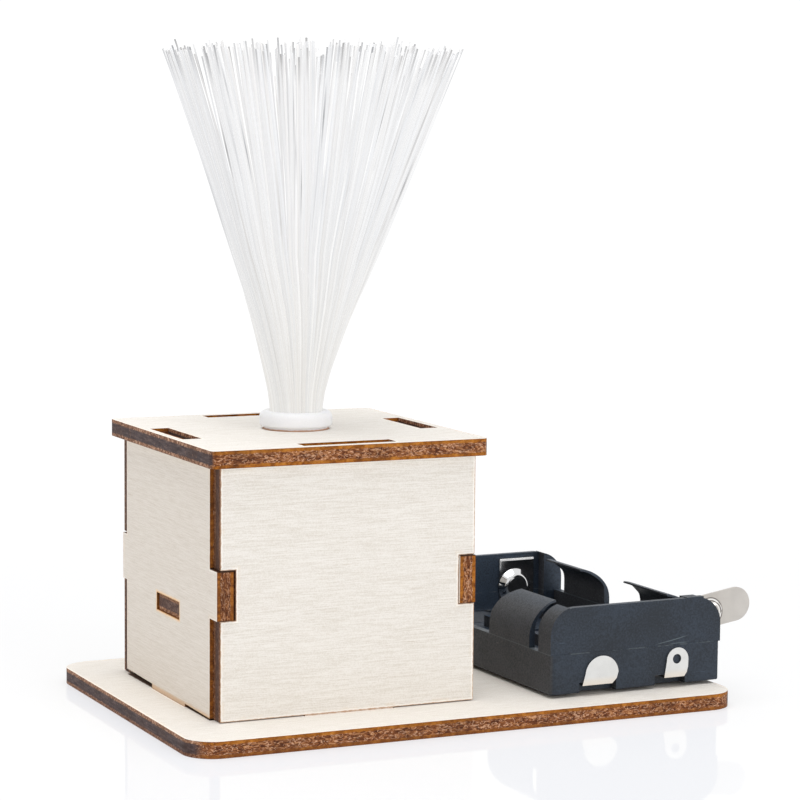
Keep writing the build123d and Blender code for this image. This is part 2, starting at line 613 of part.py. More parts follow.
# bridge across the far end: a domed plate in the right bay, a plain one in the left
far_y1 = in_y1 - 0.02
with BuildPart() as series_bridge:
    with BuildSketch(Plane.XZ.offset(-far_y1)):
        with Locations((cell_x[0] - 0.6, floor_z + 0.05), (cell_x[1] + 0.75, floor_z + 0.05)):
            RectangleRounded(7.7, 12.5, 0.3, align=LOW)
        with Locations((TRAY_X, floor_z + 0.05)):
            Rectangle(2 * CELL_DX, 2.4, align=LOW)
    extrude(amount=STRIP)
    with BuildSketch(Plane.XZ.offset(-(far_y1 - STRIP))):
        with Locations((dome_x, dome_z)):
            Circle(dome_r)
    extrude(amount=dome_h, taper=45)
    fillet(series_bridge.faces().sort_by(Axis.Y)[0].edges(), 1.2)
save(series_bridge, "series_bridge", turned=True)

# conical springs for the cells' flat ends
SPRING_H, SPRING_R0, WIRE_R = 6.0, 3.9, 0.35
for name, sx, sy, way in (
    ("near_spring", cell_x[1], plate_y0 + STRIP + WIRE_R + 0.04, 1),
    ("far_spring", cell_x[0], far_y1 - STRIP - WIRE_R - 0.04, -1),
):
    with BuildPart() as spring:
        with BuildLine(Plane.XY) as coil:
            Helix(
                pitch=1.35,
                height=SPRING_H,
                radius=SPRING_R0,
                center=(sx, sy, CELL_Z),
                direction=(0, way, 0),
                cone_angle=-12,
            )
        with BuildSketch(Plane(origin=coil.line @ 0, z_dir=coil.line % 0)):
            Circle(WIRE_R)
        sweep(path=coil.line, is_frenet=True)
    save(spring, name, turned=True)

# ------------------------------------------------------------------ switch blade
# A nickel blade behind the near right post. It turns about a rivet in the post;
# its round end stands out over the tray's side as the finger lever.
blade_y0 = post_face + 0.12
with BuildPart() as switch_blade:
    with BuildSketch(
        Plane(
            (PIVOT_X, blade_y0 + STRIP, PIVOT_Z),
            x_dir=Vector(1, 0, 0).rotate(Axis.Y, -BLADE_TILT),
            z_dir=(0, -1, 0),
        )
    ):
        with Locations((BLADE_REACH / 2, 0)):
            SlotCenterToCenter(BLADE_REACH, 2 * BLADE_R)
        Circle(BLADE_HOLE_R, mode=Mode.SUBTRACT)
    extrude(amount=STRIP)
    # pressed boss beyond the tray's side, proud on the near face
    boss = Plane(
        (PIVOT_X, blade_y0, PIVOT_Z),
        x_dir=Vector(1, 0, 0).rotate(Axis.Y, -BLADE_TILT),
        z_dir=(0, -1, 0),
    )
    with BuildSketch(Plane(boss.from_local_coords(Vector(4.55, 0, -0.05)), x_dir=boss.x_dir, z_dir=boss.z_dir)):
        Circle(1.3)
    extrude(amount=0.5, taper=38)
save(switch_blade, "switch_blade", turned=True)

with BuildPart() as blade_rivet:
    with BuildSketch(Plane.XZ.offset(-(blade_y0 + STRIP + 0.08))):
        with Locations((PIVOT_X, PIVOT_Z)):
            Circle(RIVET_R)
    extrude(amount=STRIP + 0.08 + 0.12 + 2.5)
    with BuildSketch(Plane.XZ.offset(-(blade_y0 + STRIP + 0.08))):
        with Locations((PIVOT_X, PIVOT_Z)):
            Circle(2.0)
    extrude(amount=-0.7)
    head = blade_rivet.faces().sort_by(Axis.Y)[-1].edges()
    fillet(head, 0.5)
save(blade_rivet, "blade_rivet", turned=True)
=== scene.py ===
import bpy
import math
import numpy as np
from mathutils import Matrix, Vector


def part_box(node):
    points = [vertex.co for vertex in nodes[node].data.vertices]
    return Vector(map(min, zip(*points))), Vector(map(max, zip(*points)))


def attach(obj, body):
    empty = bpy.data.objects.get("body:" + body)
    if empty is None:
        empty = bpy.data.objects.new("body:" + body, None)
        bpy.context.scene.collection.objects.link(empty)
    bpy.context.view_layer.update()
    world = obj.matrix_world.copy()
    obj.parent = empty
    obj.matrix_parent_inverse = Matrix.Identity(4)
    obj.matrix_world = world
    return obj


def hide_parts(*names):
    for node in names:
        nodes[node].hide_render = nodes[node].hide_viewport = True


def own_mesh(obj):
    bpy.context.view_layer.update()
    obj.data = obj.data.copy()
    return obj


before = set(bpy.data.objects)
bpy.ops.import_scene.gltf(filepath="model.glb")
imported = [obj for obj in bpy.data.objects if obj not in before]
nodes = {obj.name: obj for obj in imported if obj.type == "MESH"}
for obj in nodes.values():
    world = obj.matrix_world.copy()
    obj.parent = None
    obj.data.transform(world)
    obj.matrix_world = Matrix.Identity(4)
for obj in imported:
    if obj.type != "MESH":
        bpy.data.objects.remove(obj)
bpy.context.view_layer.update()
scene = bpy.context.scene
MM = 0.001

# ------------------------------------------------------------------ camera
# A long lens, turned a little to the left-hand corner of the box.
yaw, pitch, roll = (math.radians(a) for a in (-24.983, -6.095, -0.491))
turn = (
    Matrix.Rotation(yaw, 3, "Z") @ Matrix.Rotation(pitch, 3, "X") @ Matrix.Rotation(roll, 3, "Y")
)
right, forward, up = turn.col[0], turn.col[1], turn.col[2]
cam_data = bpy.data.cameras.new("camera")
cam = bpy.data.objects.new("camera", cam_data)
scene.collection.objects.link(cam)
cam_data.sensor_fit = "HORIZONTAL"
cam_data.sensor_width = 36.0
cam_data.lens = 2766.45 / 800 * 36.0
cam_data.shift_x = 0.0085
cam_data.shift_y = -0.005875
cam_data.clip_start, cam_data.clip_end = 0.02, 30.0
spot = Vector((-0.2104464, -0.4526698, 0.1083168))
cam.matrix_world = Matrix(
    (
        (right.x, up.x, -forward.x, spot.x),
        (right.y, up.y, -forward.y, spot.y),
        (right.z, up.z, -forward.z, spot.z),
        (0, 0, 0, 1),
    )
)
scene.camera = cam
scene.view_settings.view_transform = "Standard"
scene.view_settings.look = "None"
scene.view_settings.exposure = 0.0
scene.view_settings.gamma = 1.0


# ------------------------------------------------------------------ shader helper
class Net:
    """A material's node tree, built from short calls. Lengths are in millimetres."""

    def __init__(self, name):
        self.mat = bpy.data.materials.new(name)
        self.mat.use_nodes = True
        self.t = self.mat.node_tree
        self.t.nodes.clear()
        self.out = self.t.nodes.new("ShaderNodeOutputMaterial")
        self.b = self.t.nodes.new("ShaderNodeBsdfPrincipled")
        self.t.links.new(self.b.outputs[0], self.out.inputs[0])
        tc = self.t.nodes.new("ShaderNodeTexCoord")
        self.p = self.vec("SCALE", tc.outputs["Object"], scale=1000.0)
        self.x, self.y, self.z = self.sep(self.p)
        self.nx, self.ny, self.nz = self.sep(tc.outputs["Normal"])

    def put(self, socket, value):
        if isinstance(value, bpy.types.NodeSocket):
            self.t.links.new(value, socket)
        elif isinstance(value, (tuple, list)) and len(value) == 3 and socket.type == "RGBA":
            socket.default_value = (*value, 1.0)
        else:
            socket.default_value = value

    def math(self, op, a, b=0.0, c=None, clamp=False):
        n = self.t.nodes.new("ShaderNodeMath")
        n.operation, n.use_clamp = op, clamp
        self.put(n.inputs[0], a)
        self.put(n.inputs[1], b)
        if c is not None:
            self.put(n.inputs[2], c)
        return n.outputs[0]

    def add(self, a, b):
        return self.math("ADD", a, b)

    def sub(self, a, b):
        return self.math("SUBTRACT", a, b)

    def mul(self, a, b):
        return self.math("MULTIPLY", a, b)

    def absol(self, a):
        return self.math("ABSOLUTE", a)

    def vec(self, op, a, b=None, scale=None):
        n = self.t.nodes.new("ShaderNodeVectorMath")
        n.operation = op
        self.put(n.inputs[0], a)
        if b is not None:
            self.put(n.inputs[1], b)
        if scale is not None:
            self.put(n.inputs["Scale"], scale)
        return n.outputs[0]

    def sep(self, v):
        n = self.t.nodes.new("ShaderNodeSeparateXYZ")
        self.put(n.inputs[0], v)
        return n.outputs[0], n.outputs[1], n.outputs[2]

    def comb(self, x, y, z):
        n = self.t.nodes.new("ShaderNodeCombineXYZ")
        for s, v in zip(n.inputs, (x, y, z)):
            self.put(s, v)
        return n.outputs[0]

    def stretch(self, sx, sy, sz, shift=(0.0, 0.0, 0.0)):
        """The position, scaled per axis (cycles per millimetre) and shifted."""
        n = self.t.nodes.new("ShaderNodeMapping")
        self.put(n.inputs["Vector"], self.p)
        n.inputs["Scale"].default_value = (sx, sy, sz)
        n.inputs["Location"].default_value = shift
        return n.outputs[0]

    def noise(self, v, scale=1.0, detail=2.0, rough=0.5, warp=0.0):
        n = self.t.nodes.new("ShaderNodeTexNoise")
        self.put(n.inputs["Vector"], v)
        n.inputs["Scale"].default_value = scale
        n.inputs["Detail"].default_value = detail
        n.inputs["Roughness"].default_value = rough
        n.inputs["Distortion"].default_value = warp
        return n.outputs[0]

    def cells(self, v, scale=1.0, feature="F1", random=1.0):
        n = self.t.nodes.new("ShaderNodeTexVoronoi")
        n.feature = feature
        self.put(n.inputs["Vector"], v)
        n.inputs["Scale"].default_value = scale
        n.inputs["Randomness"].default_value = random
        return n.outputs[0]

    def span(self, v, a, b, lo=0.0, hi=1.0, smooth=True):
        n = self.t.nodes.new("ShaderNodeMapRange")
        n.interpolation_type = "SMOOTHSTEP" if smooth else "LINEAR"
        n.clamp = True
        self.put(n.inputs["Value"], v)
        for key, value in (("From Min", a), ("From Max", b), ("To Min", lo), ("To Max", hi)):
            self.put(n.inputs[key], value)
        return n.outputs[0]

    def ramp(self, v, stops):
        n = self.t.nodes.new("ShaderNodeValToRGB")
        self.put(n.inputs[0], v)
        e = n.color_ramp.elements
        while len(e) < len(stops):
            e.new(0.5)
        for el, (at, colour) in zip(e, stops):
            el.position = at
            el.color = (*colour, 1.0)
        return n.outputs[0]

    def mix(self, f, a, b, how="MIX"):
        n = self.t.nodes.new("ShaderNodeMix")
        n.data_type, n.blend_type = "RGBA", how
        self.put(n.inputs[0], f)
        self.put(n.inputs[6], a)
        self.put(n.inputs[7], b)
        return n.outputs[2]

    def blendf(self, f, a, b):
        n = self.t.nodes.new("ShaderNodeMix")
        n.data_type = "FLOAT"
        self.put(n.inputs[0], f)
        self.put(n.inputs[2], a)
        self.put(n.inputs[3], b)
        return n.outputs[0]

    def bump(self, height, strength, distance, normal=None):
        n = self.t.nodes.new("ShaderNodeBump")
        n.inputs["Strength"].default_value = strength
        n.inputs["Distance"].default_value = distance * MM
        self.put(n.inputs["Height"], height)
        if normal is not None:
            self.put(n.inputs["Normal"], normal)
        return n.outputs[0]

    def set(self, **values):
        for key, value in values.items():
            self.put(self.b.inputs[key.replace("_", " ")], value)
        return self


def dress(node, mat):
    """Gives a CAD node this material in every slot."""
    me = nodes[node].data
    if not me.materials:
        me.materials.append(mat)
    for i in range(len(me.materials)):
        me.materials[i] = mat


# ------------------------------------------------------------------ plywood
T = 3.0
CREAM = (0.845, 0.812, 0.768)
CREAM_DARK = (0.668, 0.620, 0.552)


def plywood(
    name, axis, low, grain, fleck, rects, seed, tone=(1.0, 1.0, 1.0), thick=T,
    ring=None, stroke=0, calm=0.12, char=0.0, burns_and_gap_shade=(), foot=None, ply=0.17, under=0.0,
    hot=(), painted_shade_rects=(),
):
    """Three-ply basswood, cut by laser. axis is the sheet's thickness axis, low its lower
    face, grain the axis along which the face veneer runs, and fleck how much each axis'
    cut edges show end grain in the core. rects are the cut outlines in the sheet's plane
    as (middle, middle, half, half), or lists of such that join into one outline, and get a
    pale, lightly singed border; ring is the
    middle and radius of a round one. stroke is the way the edge's flecks run, calm how
    plain the face is, char how dark the edges are burnt, ply the face veneers' share of the
    thickness, under how much darker the lower veneer is, burns_and_gap_shade are (axis, place, half)
    bands darkened nearly black on the edges, partly laser burn and partly painted shade of
    the gaps beside them, foot the height of a singed lower border, hot the cut outlines with
    an orange border, and painted_shade_rects the rectangles darkened brown as painted shade of a gap under a wall."""
    n = Net(name)
    pos, nor = (n.x, n.y, n.z), (n.nx, n.ny, n.nz)
    cross = 3 - axis - grain
    shift = (seed * 3.7, seed * 5.3, seed * 1.9)

    # face veneer: long fine fibres, a broad tone and a few short dark dashes
    def along(g, c):
        s = [0.4, 0.4, 0.4]
        s[grain], s[cross] = g, c
        return n.stretch(*s, shift=shift)

    fibres = n.noise(along(0.20, 5.6), detail=3, rough=0.55, warp=0.15)
    hairs = n.noise(along(0.42, 8.5), detail=2, rough=0.5)
    grit = n.noise(n.stretch(4.6, 4.6, 4.6, shift), detail=2, rough=0.6)
    broad = n.noise(along(0.06, 0.22), detail=2, rough=0.5)
    dash = n.span(n.noise(along(0.30, 5.2), detail=1.5), 0.665, 0.78)
    pores = n.span(n.noise(along(1.6, 5.0), detail=1), 0.70, 0.80)
    tone_f = n.add(n.mul(fibres, 0.38), n.add(n.mul(hairs, 0.22), n.mul(broad, 0.04)))
    tone_f = n.add(tone_f, n.mul(grit, 0.36))
    face = n.mix(n.span(tone_f, 0.34, 0.62), CREAM_DARK, CREAM)
    face = n.mix(calm, face, tuple(0.36 * a + 0.64 * b + 0.01 for a, b in zip(CREAM_DARK, CREAM)))
    face = n.mix(n.mul(dash, 0.26), face, (0.50, 0.40, 0.30))
    face = n.mix(n.mul(pores, 0.16), face, (0.55, 0.42, 0.31))

    # distance to the nearest cut
    ia, ib = [i for i in range(3) if i != axis]
    near = None
    for shape in rects:
        whole = None
        for ca, cb, ha, hb in shape if isinstance(shape, list) else [shape]:
            da = n.sub(n.absol(n.sub(pos[ia], ca)), ha)
            db = n.sub(n.absol(n.sub(pos[ib], cb)), hb)
            one = n.math("MAXIMUM", da, db)
            whole = one if whole is None else n.math("MINIMUM", whole, one)
        d = n.absol(whole)
        near = d if near is None else n.math("MINIMUM", near, d)
    if near is not None:
        wobble = n.mul(n.sub(n.noise(n.stretch(1.3, 1.3, 1.3, shift), detail=4, rough=0.6), 0.5), 0.34)
        near_w = n.add(near, wobble)
        smoke = n.span(n.noise(n.stretch(0.35, 0.35, 0.35, shift), detail=2), 0.45, 0.65)
        glow = n.mul(n.span(near_w, 0.2, 1.1, 1.0, 0.0), smoke)
        face = n.mix(n.mul(glow, 0.22), face, (0.80, 0.60, 0.36))
        pale = n.span(near_w, 0.22, 0.52, 1.0, 0.0)
        singe = n.span(near_w, 0.04, 0.20, 1.0, 0.0)
        face = n.mix(n.mul(pale, 0.70), face, (0.975, 0.945, 0.89))
        face = n.mix(n.mul(singe, 0.78), face, (0.42, 0.20, 0.07))
    if foot is not None:
        low_rim = n.span(n.add(n.z, wobble), foot - 0.20, foot + 0.32, 1.0, 0.0)
        face = n.mix(n.mul(low_rim, 0.58), face, (0.66, 0.39, 0.16))
    # hot outlines get an orange singe; the other rectangles get a dark brown of painted shade, standing for the
    # shadow in a gap under a wall
    for outlines, colour, strength in ((hot, (0.86, 0.53, 0.22), 0.62), (painted_shade_rects, (0.10, 0.045, 0.018), 0.92)):
        for ca, cb, ha, hb in outlines:
            away = n.math(
                "MAXIMUM", n.sub(n.absol(n.sub(pos[ia], ca)), ha), n.sub(n.absol(n.sub(pos[ib], cb)), hb)
            )
            if outlines is hot:
                away = n.absol(away)
            near_it = n.span(n.add(away, wobble), 0.10, 0.62 if outlines is hot else 0.16, 1.0, 0.0)
            face = n.mix(n.mul(near_it, strength), face, colour)
    if ring is not None:
        (ra, rb), rr = ring
        da, db = n.sub(pos[ia], ra), n.sub(pos[ib], rb)
        dist = n.math("SQRT", n.add(n.mul(da, da), n.mul(db, db)))
        halo = n.span(n.absol(n.sub(dist, rr)), 0.5, 1.9, 1.0, 0.0)
        face = n.mix(n.mul(halo, 0.55), face, (0.97, 0.945, 0.90))
        mark = n.span(n.absol(n.sub(dist, rr)), 0.10, 0.30, 1.0, 0.0)
        face = n.mix(n.mul(mark, 0.75), face, (0.42, 0.17, 0.05))

    # cut edge: orange veneer bands and a dark core, with an uneven line between them
    depth = n.mul(n.sub(pos[axis], low), 1.0 / thick)
    ragged = n.mul(n.sub(n.noise(n.stretch(1.0, 1.0, 1.0, shift), detail=5, rough=0.7), 0.5), 0.24)
    dd = n.math("MINIMUM", depth, n.sub(1.0, depth))
    veneer = n.span(n.add(dd, ragged), ply, ply + 0.065, 1.0, 0.0)
    s = [2.4, 2.4, 2.4]
    s[stroke] = 1.0
    speck = n.noise(n.stretch(*s, shift=shift), detail=2.5, rough=0.55, warp=1.1)
    fleck_col = n.ramp(
        speck,
        [
            (0.36, (0.070, 0.020, 0.008)),
            (0.47, (0.145, 0.044, 0.014)),
            (0.57, (0.270, 0.098, 0.034)),
            (0.70, (0.500, 0.250, 0.110)),
        ],
    )
    s = [1.55, 1.55, 1.55]
    s[stroke] = 0.62
    vein = n.noise(n.stretch(*s, shift=shift[::-1]), detail=2, rough=0.5, warp=0.9)
    vein = n.mul(
        n.span(n.absol(n.sub(vein, 0.5)), 0.008, 0.042, 1.0, 0.0),
        n.span(n.noise(n.stretch(1.9, 1.9, 1.9, shift), detail=1), 0.36, 0.50),
    )
    fleck_col = n.mix(n.mul(vein, 0.66), fleck_col, (0.72, 0.43, 0.27))
    core_grain = [i for i in range(3) if i not in (axis, grain)][0]
    s = [2.6, 2.6, 2.6]
    s[core_grain] = 0.35
    streak = n.noise(n.stretch(*s, shift=shift), detail=4, rough=0.6)
    dark_col = n.ramp(
        streak,
        [
            (0.32, (0.036, 0.022, 0.022)),
            (0.52, (0.064, 0.042, 0.042)),
            (0.72, (0.120, 0.082, 0.076)),
        ],
    )
    rare = n.span(n.noise(n.stretch(1.8, 1.8, 1.8, shift), detail=2), 0.66, 0.76)
    dark_col = n.mix(n.mul(rare, 0.5), dark_col, (0.42, 0.24, 0.15))
    long_col = n.ramp(
        n.add(n.mul(n.noise(along(0.6, 2.4), detail=4, rough=0.65), 0.6), n.mul(speck, 0.4)),
        [
            (0.34, (0.120, 0.034, 0.006)),
            (0.48, (0.290, 0.092, 0.009)),
            (0.62, (0.470, 0.180, 0.026)),
        ],
    )
    end_col = n.ramp(
        n.noise(n.stretch(2.4, 2.4, 2.4, shift), detail=3, rough=0.65),
        [
            (0.36, (0.095, 0.036, 0.020)),
            (0.50, (0.240, 0.110, 0.055)),
            (0.64, (0.600, 0.370, 0.250)),
        ],
    )
    amount = None
    for i, w in enumerate(fleck):
        if i == axis or not w:
            continue
        term = n.mul(n.mul(nor[i], nor[i]), w)
        amount = term if amount is None else n.add(amount, term)
    amount = n.span(amount, 0.25, 0.75) if amount is not None else 0.0
    core = n.mix(amount, dark_col, fleck_col)
    band = n.mix(amount, end_col, long_col)
    burnt = n.span(dd, 0.0, 0.05, 1.0, 0.0)
    edge = n.mix(veneer, core, band)
    edge = n.mix(n.mul(burnt, 0.45), edge, (0.095, 0.030, 0.010))
    scorch = n.noise(n.stretch(0.22, 0.22, 0.22, shift), detail=3)
    edge = n.mix(n.span(scorch, 0.42, 0.72, char, char + 0.35), edge, (0.055, 0.022, 0.010))
    if under:
        edge = n.mix(n.span(n.add(depth, ragged), 0.10, 0.30, under, 0.0), edge, (0.085, 0.026, 0.014))
    # bands darkened nearly black on the edges: partly laser burn, partly painted shade of the gaps beside them
    for way, place, half in burns_and_gap_shade:
        shade = n.span(n.absol(n.sub(pos[way], place)), 0.45 * half, half, 1.0, 0.0)
        edge = n.mix(n.mul(shade, 0.85), edge, (0.022, 0.009, 0.005))

    is_face = n.math("GREATER_THAN", n.absol(nor[axis]), 0.5)
    colour = n.mix(is_face, edge, face)
    colour = n.mix(1.0, colour, tone, "MULTIPLY")
    face_h = n.add(n.mul(fibres, 0.7), n.mul(hairs, 0.3))
    edge_h = n.add(n.mul(speck, 0.7), n.mul(streak, 0.3))
    height = n.blendf(is_face, edge_h, face_h)
    n.set(
        Base_Color=colour,
        Roughness=n.blendf(is_face, n.span(speck, 0.3, 0.7, 0.75, 0.55), n.span(fibres, 0.3, 0.7, 0.78, 0.62)),
        Normal=n.bump(height, 0.35, 0.05),
    )
    n.b.inputs["Specular IOR Level"].default_value = 0.20
    return n.mat


base_cuts = [
    (0.8, 0.0, 52.4, 35.5),
    (-18.2, -21.66, 8.45, 1.55),
    (-18.2, 23.34, 8.45, 1.55),
    (-41.4, 0.1, 1.55, 8.45),
    (4.25, 0.1, 1.55, 8.45),
]
lid_cuts = [
    (-18.57, 0.685, 25.92, 25.765),
    (-18.325, -21.66, 8.625, 1.55),
    (-18.325, 23.34, 8.625, 1.55),
    (-41.29, 0.825, 1.69, 8.225),
    (4.175, 0.825, 1.625, 8.225),
]
# painted shade: a dark brown on the base's top under the left wall's foot, for the shadow in the gap there; the
# base's tone is also lifted a little as painted light on its top
dress("base_plate", plywood("plywood_base", 2, 0.0, 0, (0, 1, 0), base_cuts, 1.0, (1.03, 1.03, 1.03), 2.88, under=0.45, painted_shade_rects=[(-41.3, 0.84, 1.45, 20.9)]))
# painted light: the lid's tone is lifted a little for the light on its top
dress(
    "lid",
    plywood(
        "plywood_lid", 2, 46.7, 0, (0, 1, 0), lid_cuts, 2.0, (1.04, 1.045, 1.05), ring=((-18.33, 0.84), 5.86)
    ),
)
front_cuts = [(-18.225, 24.875, 23.925, 21.825), (-40.75, 24.75, 1.4, 4.35), (4.175, 24.75, 1.525, 4.35)]
dress("front_wall", plywood("plywood_front", 1, -23.16, 0, (0.40, 0, 1), front_cuts, 3.0, stroke=2, char=0.34, ply=0.20))
back_cuts = [(-18.3, 24.875, 24.0, 21.825), (-41.05, 24.75, 1.25, 4.35), (4.175, 24.75, 1.525, 4.35)]
dress("back_wall", plywood("plywood_back", 1, 21.84, 0, (0.30, 0, 1), back_cuts, 4.0, stroke=2, char=0.45, ply=0.17))
side_cuts = [
    [(0.84, 24.95, 21.0, 21.75), (-19.28, 24.75, 4.28, 4.35), (19.40, 24.75, 4.39, 4.35), (0.1, 4.0, 8.3, 3.0)],
    (0.25, 19.25, 5.65, 1.55),
]
# the edges at the fingers' top and bottom are darkened nearly black: partly laser burn, partly painted shade of the
# notch gaps
finger_burns_and_shade = ((2, 20.45, 0.22), (2, 29.05, 0.30))
# painted shade: the left wall's tone is a little darker and warmer, for the side turned from the light
dress(
    "left_wall",
    plywood(
        "plywood_left", 0, -42.9, 1, (0, 1, 1), side_cuts, 5.0, (0.985, 0.957, 0.93),
        stroke=2, calm=0.30, char=0.20, burns_and_gap_shade=finger_burns_and_shade, foot=3.6, hot=side_cuts[1:],
    ),
)
dress(
    "right_wall",
    plywood("plywood_right", 0, 2.75, 1, (0, 1, 1), side_cuts, 6.0, stroke=2, burns_and_gap_shade=finger_burns_and_shade, foot=3.6),
)
dress(
    "led_shelf",
    plywood("plywood_shelf", 2, 17.75, 0, (0.4, 1, 0), [(-18.575, 0.84, 21.275, 15.0)], 7.0),
)


# ------------------------------------------------------------------ plastics and metals
def moulded(name, colour, grain, rough, spec, scuffs=0.0, depth=0.03, vary=1.0):
    """Moulded plastic with a fine spark-eroded skin, a slow tone and rubbed marks."""
    n = Net(name)
    skin = n.noise(n.stretch(grain, grain, grain), detail=3, rough=0.6)
    slow = n.noise(n.stretch(0.10, 0.10, 0.10), detail=2)
    light = tuple(min(1.0, c * (1.0 + 0.35 * vary) + 0.002) for c in colour)
    dark = tuple(c * (1.0 - 0.28 * vary) for c in colour)
    col = n.mix(n.span(n.add(n.mul(skin, 0.6), n.mul(slow, 0.4)), 0.38, 0.62), dark, light)
    if scuffs:
        rub = n.span(
            n.noise(n.stretch(0.16, 0.5, 2.6, (3.1, 0.4, 7.7)), detail=3, rough=0.7), 0.655, 0.70
        )
        where = n.span(n.noise(n.stretch(0.09, 0.09, 0.12, (5.0, 1.0, 2.0)), detail=1), 0.50, 0.60)
        rub = n.mul(n.mul(rub, where), scuffs)
        col = n.mix(rub, col, tuple(min(1.0, c * 4 + 0.03) for c in colour))
    n.set(
        Base_Color=col,
        Roughness=n.span(skin, 0.3, 0.7, rough + 0.08, rough - 0.06),
        Normal=n.bump(skin, 0.30, depth),
    )
    n.b.inputs["Specular IOR Level"].default_value = spec
    return n


def rolled_metal(name, colour, rough, across=(1.0, 1.0, 1.0), depth=0.01):
    """Bright strip or wire: fine rolling lines, faint smudges."""
    n = Net(name)
    lines = n.noise(n.stretch(*[a * 6.0 for a in across]), detail=4, rough=0.65)
    smudge = n.noise(n.stretch(0.45, 0.45, 0.45, (1, 2, 3)), detail=3)
    col = n.mix(n.span(smudge, 0.35, 0.7), colour, tuple(c * 0.94 for c in colour))
    n.set(
        Base_Color=col,
        Roughness=n.add(n.span(lines, 0.3, 0.7, rough - 0.02, rough + 0.03), n.span(smudge, 0.4, 0.7, 0.0, 0.03)),
        Normal=n.bump(lines, 0.06, depth),
    )
    n.b.inputs["Metallic"].default_value = 1.0
    return n


tray_net = moulded("tray_plastic", (0.0094, 0.0165, 0.0280), 3.0, 0.52, 0.5, scuffs=0.5, vary=1.3)
t = tray_net
tray_col = t.b.inputs["Base Color"].links[0].from_socket
# painted light: the left-facing side is painted lighter and warmer, for the light it gets from the box beside it,
# and the deep end is painted lighter, for light that reaches into it
lit_side = t.span(t.nx, -0.8, -0.3, 1.0, 0.0)
tray_col = t.mix(lit_side, tray_col, t.mix(1.0, tray_col, (2.25, 1.42, 1.0), "MULTIPLY"))
tray_col = t.vec("SCALE", tray_col, scale=t.add(1.0, t.span(t.y, 5.0, 30.0, 0.0, 0.45)))
# a painted highlight along the mould's parting line at the rim, for the glint on its small ledge, broken here and
# there and kept whole on the lit left side; and three scratches over it
seam_glint_mask = t.span(t.noise(t.stretch(0.45, 0.45, 0.2), detail=3, rough=0.7), 0.44, 0.58)
seam_glint_mask = t.math("MAXIMUM", seam_glint_mask, lit_side)
line = t.mul(t.span(t.absol(t.sub(t.z, 10.7)), 0.05, 0.13, 1.0, 0.0), seam_glint_mask)
tray_col = t.mix(t.mul(line, 0.75), tray_col, (0.075, 0.090, 0.100))
for sx, sz, slope, reach in ((43.2, 11.45, 0.16, 3.2), (44.9, 11.75, 0.20, 2.6), (45.3, 10.95, 0.02, 2.4)):
    off = t.absol(t.sub(t.sub(t.z, sz), t.mul(t.sub(t.x, sx), slope)))
    mark = t.mul(t.span(off, 0.04, 0.11, 1.0, 0.0), t.span(t.absol(t.sub(t.x, sx)), 0.4 * reach, reach, 1.0, 0.0))
    mark = t.mul(mark, t.math("LESS_THAN", t.y, -26.5))
    tray_col = t.mix(t.mul(mark, 0.7), tray_col, (0.09, 0.115, 0.13))
t.set(Base_Color=tray_col)
dress("battery_tray", tray_net.mat)
collar_net = moulded("collar_plastic", (0.845, 0.845, 0.862), 9.0, 0.36, 0.4, depth=0.002, vary=0.12)
# a little singe from the lid's hole has rubbed off on the collar's foot
foot = collar_net.span(
    collar_net.add(
        collar_net.z,
        collar_net.mul(collar_net.sub(collar_net.noise(collar_net.stretch(0.9, 0.9, 0.9), detail=2), 0.5), 0.18),
    ),
    49.84,
    50.0,
    1.0,
    0.0,
)
foot = collar_net.mul(foot, collar_net.span(collar_net.z, 49.35, 49.55))
clean = collar_net.b.inputs["Base Color"].links[0].from_socket
collar_net.set(Base_Color=collar_net.mix(collar_net.mul(foot, 0.8), clean, (0.55, 0.24, 0.08)))
collar_net.b.inputs["Subsurface Weight"].default_value = 0.15
collar_net.b.inputs["Subsurface Radius"].default_value = (0.002, 0.002, 0.0025)
collar_net.b.inputs["Subsurface Scale"].default_value = 1.0
dress("fibre_collar", collar_net.mat)

strip = rolled_metal("nickel_strip", (0.755, 0.752, 0.735), 0.13, (1.0, 1.0, 0.12), 0.004)
# the tabs turn warmer and a little darker towards their bent feet, and the strips' lower ends inside the tray are
# painted almost black: painted shade, where they run in the dark under the tray
clean = strip.b.inputs["Base Color"].links[0].from_socket
bend = strip.span(strip.z, 5.2, 6.5, 1.0, 0.0)
tint = strip.mix(strip.mul(bend, 0.7), clean, (0.80, 0.72, 0.62))
painted_shade_under_tray = strip.mul(strip.math("GREATER_THAN", strip.y, -27.0), strip.math("LESS_THAN", strip.z, 5.7))
strip.set(Base_Color=strip.mix(strip.mul(painted_shade_under_tray, 0.96), tint, (0.02, 0.02, 0.022)))
nickel = strip.mat
bridge = rolled_metal("nickel_bridge", (0.70, 0.70, 0.70), 0.06, (1.0, 1.0, 0.12), 0.002)
# its upper edge is turned over and catches the light
top_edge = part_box("series_bridge")[1][2] * 1000.0
lip = bridge.span(bridge.z, top_edge - 0.50, top_edge - 0.05, 1.0, 0.0)
flat = bridge.b.inputs["Normal"].links[0].from_socket
bridge.set(Normal=bridge.bump(lip, 1.0, 0.9, flat))
dress("positive_terminal", nickel)
dress("negative_terminal", nickel)
dress("series_bridge", bridge.mat)
dress("blade_rivet", nickel)
lever = rolled_metal("nickel_blade", (0.605, 0.575, 0.540), 0.38, (1.0, 1.0, 0.2), 0.006)
# bright and dark rings painted round the boss: painted highlights and painted shade for the light on its pressed
# dome, and a slow brown tone towards the root
steel = lever.b.inputs["Base Color"].links[0].from_socket
brown = lever.span(lever.x, 54.0, 61.0, 0.28, 0.0)
steel = lever.mix(brown, steel, (0.44, 0.40, 0.35))
dx, dz = lever.sub(lever.x, 54.2), lever.sub(lever.z, 15.25)
ring_r = lever.math("SQRT", lever.add(lever.mul(dx, dx), lever.mul(dz, dz)))
